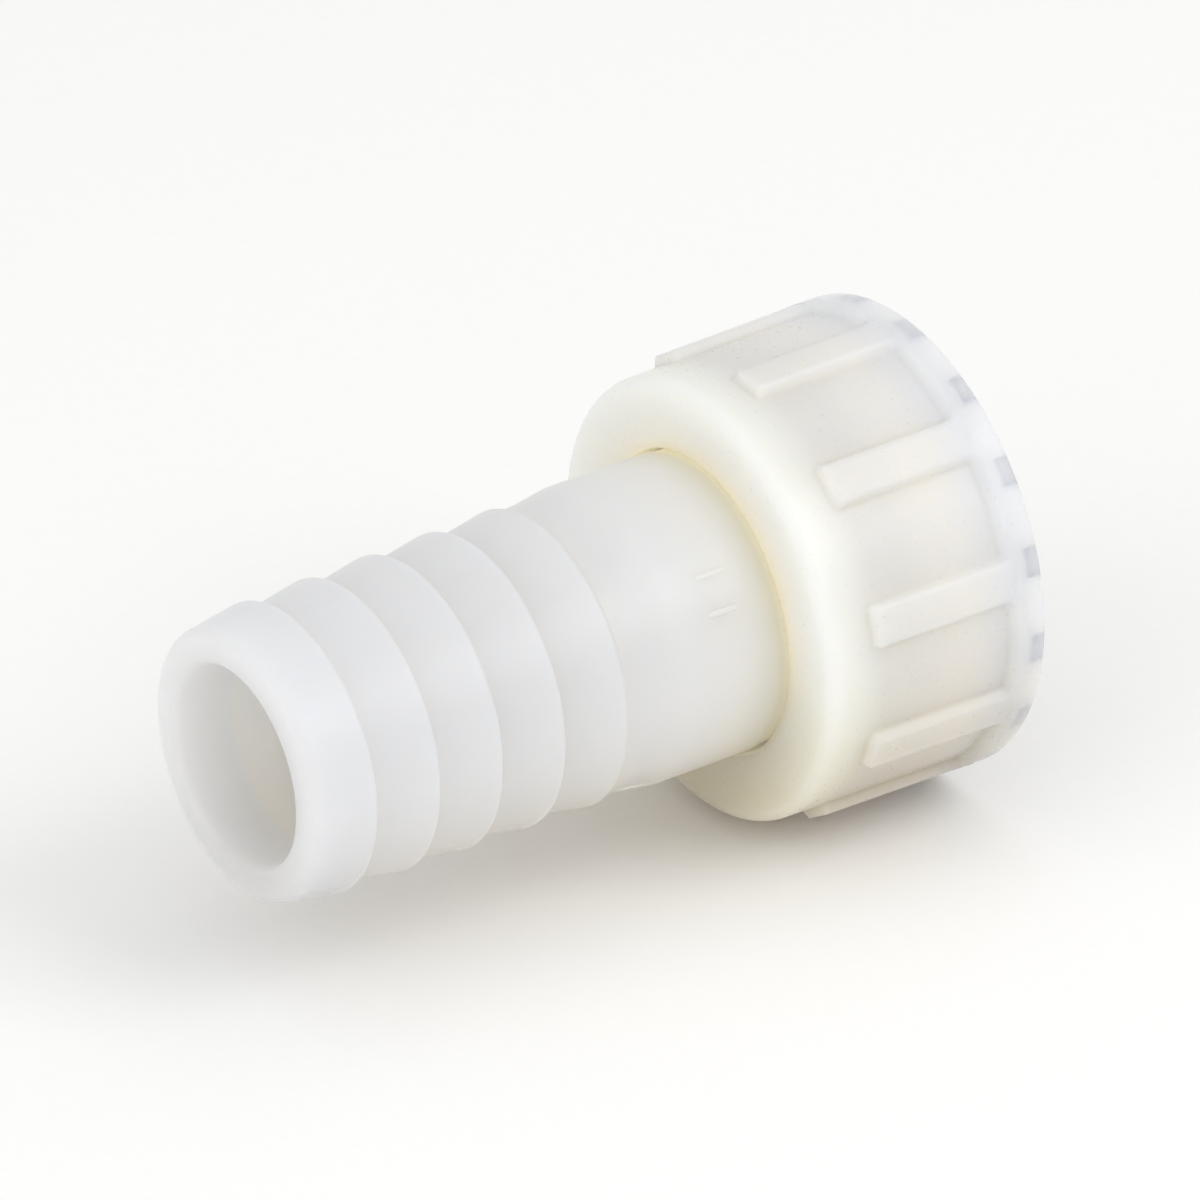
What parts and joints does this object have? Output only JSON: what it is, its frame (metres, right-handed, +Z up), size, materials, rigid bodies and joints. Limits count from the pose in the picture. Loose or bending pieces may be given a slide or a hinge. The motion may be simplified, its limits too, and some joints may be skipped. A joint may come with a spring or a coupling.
{
  "type": "hose connector",
  "caption": "Barbed plastic hose tail with a captive union nut, which screws onto the threaded stem of a thru hull fitting.",
  "frame": {"origin": "on the common axis, at the inner end of the union nut's thread, where the sealing ring stops a pipe end", "axes": "+X along the common axis, out of the union nut's open mouth; the hose tail points to -X. +Z is up with the fitting lying down, and +Y completes a right-handed frame"},
  "size_m": [0.07, 0.0428, 0.0428],
  "materials": {
    "tail_nylon": "natural white nylon, smooth satin",
    "nut_nylon": "natural ivory nylon, finely grained satin, slightly translucent",
    "seal_rubber": "pale moulded rubber, dull"
  },
  "bodies": {
    "tail": {"hose_tail": "tail_nylon"},
    "seal": {"sealing_ring": "seal_rubber"},
    "nut": {"union_nut": "nut_nylon"}
  },
  "joints": [
    {"name": "nut_slide", "type": "slide", "parent": "tail", "child": "seal", "axis": [1, 0, 0], "range_m": [-0.00115, 0.00035]},
    {"name": "nut_swivel", "type": "hinge", "parent": "seal", "child": "nut", "pos_m": [0, 0, 0], "axis": [1, 0, 0], "continuous": true}
  ]
}
